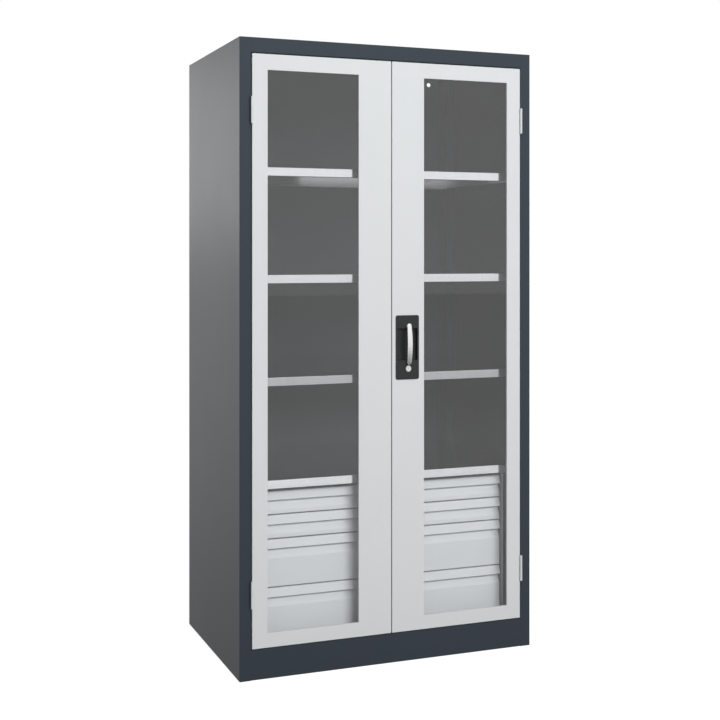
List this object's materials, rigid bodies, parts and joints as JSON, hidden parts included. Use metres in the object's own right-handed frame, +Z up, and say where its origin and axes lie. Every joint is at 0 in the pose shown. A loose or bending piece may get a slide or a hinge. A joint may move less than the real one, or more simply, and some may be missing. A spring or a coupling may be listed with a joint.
{
  "type": "storage cabinet",
  "caption": "Tall free-standing steel storage cabinet with glazed hinged doors, a rod-locking lever handle, slotted posts for galvanised shelves, and wide drawers behind the doors.",
  "frame": {"origin": "on the floor, in the middle of the whole cabinet with its handle", "axes": "+X to the viewer's right across the front, +Y from front to back, +Z up"},
  "size_m": [1, 0.6252, 1.95],
  "materials": {
    "body_paint": "anthracite powder coat, fine texture",
    "door_paint": "light grey powder coat, fine texture",
    "galvanised": "galvanised sheet",
    "clear_pane": "clear",
    "black_plastic": "moulded, fine grain",
    "satin_silver": "satin",
    "steel": "zinc plated"
  },
  "bodies": {
    "carcass": {"right_front_post": "body_paint", "left_front_post": "body_paint", "right_rear_post": "body_paint", "left_rear_post": "body_paint", "right_wall": "body_paint", "left_wall": "body_paint", "roof_panel": "body_paint", "back_wall": "body_paint", "floor_panel": "body_paint", "plinth_panel": "body_paint", "lintel": "body_paint", "glide_feet": "black_plastic", "shelf_1": "galvanised", "shelf_2": "galvanised", "shelf_3": "galvanised", "shelf_4": "galvanised", "shelf_clips": "galvanised", "right_drawer_side": "door_paint", "left_drawer_side": "door_paint", "drawer_rails": "galvanised", "right_post_hinges": "door_paint", "left_post_hinges": "door_paint", "right_hinge_pins": "steel", "left_hinge_pins": "steel", "hinge_washers": "steel", "magnet_catch": "black_plastic"},
    "left_door": {"left_door_panel": "door_paint", "left_pane": "clear_pane", "left_pane_retainer": "door_paint", "left_door_hinges": "door_paint", "strike_plate": "steel"},
    "right_door": {"right_door_panel": "door_paint", "right_pane": "clear_pane", "right_pane_retainer": "door_paint", "right_door_hinges": "door_paint", "handle_plate": "black_plastic", "lock_housing": "steel", "rod_guides": "black_plastic"},
    "lever": {"lever_arm": "satin_silver", "lever_spindle": "steel", "lever_crank": "steel"},
    "upper_rod": {"upper_rod": "steel"},
    "lower_rod": {"lower_rod": "steel"},
    "key": {"key_plug": "satin_silver", "lock_tongue": "steel"},
    "drawer_1": {"drawer_1_front": "door_paint", "drawer_1_tray": "door_paint", "drawer_1_runners": "galvanised"},
    "drawer_2": {"drawer_2_front": "door_paint", "drawer_2_tray": "door_paint", "drawer_2_runners": "galvanised"},
    "drawer_3": {"drawer_3_front": "door_paint", "drawer_3_tray": "door_paint", "drawer_3_runners": "galvanised"},
    "drawer_4": {"drawer_4_front": "door_paint", "drawer_4_tray": "door_paint", "drawer_4_runners": "galvanised"}
  },
  "joints": [
    {"name": "right_door_swing", "type": "hinge", "parent": "carcass", "child": "right_door", "pos_m": [0.4625, -0.29585, 0.99925], "axis": [0, 0, 1], "range_deg": [0, 170]},
    {"name": "left_door_swing", "type": "hinge", "parent": "carcass", "child": "left_door", "pos_m": [-0.4625, -0.29585, 0.99925], "axis": [0, 0, -1], "range_deg": [0, 170]},
    {"name": "lever_turn", "type": "hinge", "parent": "right_door", "child": "lever", "pos_m": [0.0567, -0.29435, 1.065], "axis": [0, -1, 0], "range_deg": [0, 90]},
    {"name": "upper_rod_slide", "type": "slide", "parent": "right_door", "child": "upper_rod", "axis": [0, 0, 1], "range_m": [0, 0.017]},
    {"name": "lower_rod_slide", "type": "slide", "parent": "right_door", "child": "lower_rod", "axis": [0, 0, -1], "range_m": [0, 0.017]},
    {"name": "key_turn", "type": "hinge", "parent": "right_door", "child": "key", "pos_m": [0.0567, -0.29435, 0.93], "axis": [0, -1, 0], "range_deg": [0, 90]},
    {"name": "drawer_1_slide", "type": "slide", "parent": "carcass", "child": "drawer_1", "axis": [0, -1, 0], "range_m": [0, 0.03]},
    {"name": "drawer_2_slide", "type": "slide", "parent": "carcass", "child": "drawer_2", "axis": [0, -1, 0], "range_m": [0, 0.03]},
    {"name": "drawer_3_slide", "type": "slide", "parent": "carcass", "child": "drawer_3", "axis": [0, -1, 0], "range_m": [0, 0.03]},
    {"name": "drawer_4_slide", "type": "slide", "parent": "carcass", "child": "drawer_4", "axis": [0, -1, 0], "range_m": [0, 0.03]}
  ],
  "couplings": [
    {"joint": "upper_rod_slide", "follows": "lever_turn", "m_per_rad": 0.010804},
    {"joint": "lower_rod_slide", "follows": "lever_turn", "m_per_rad": 0.010804}
  ]
}
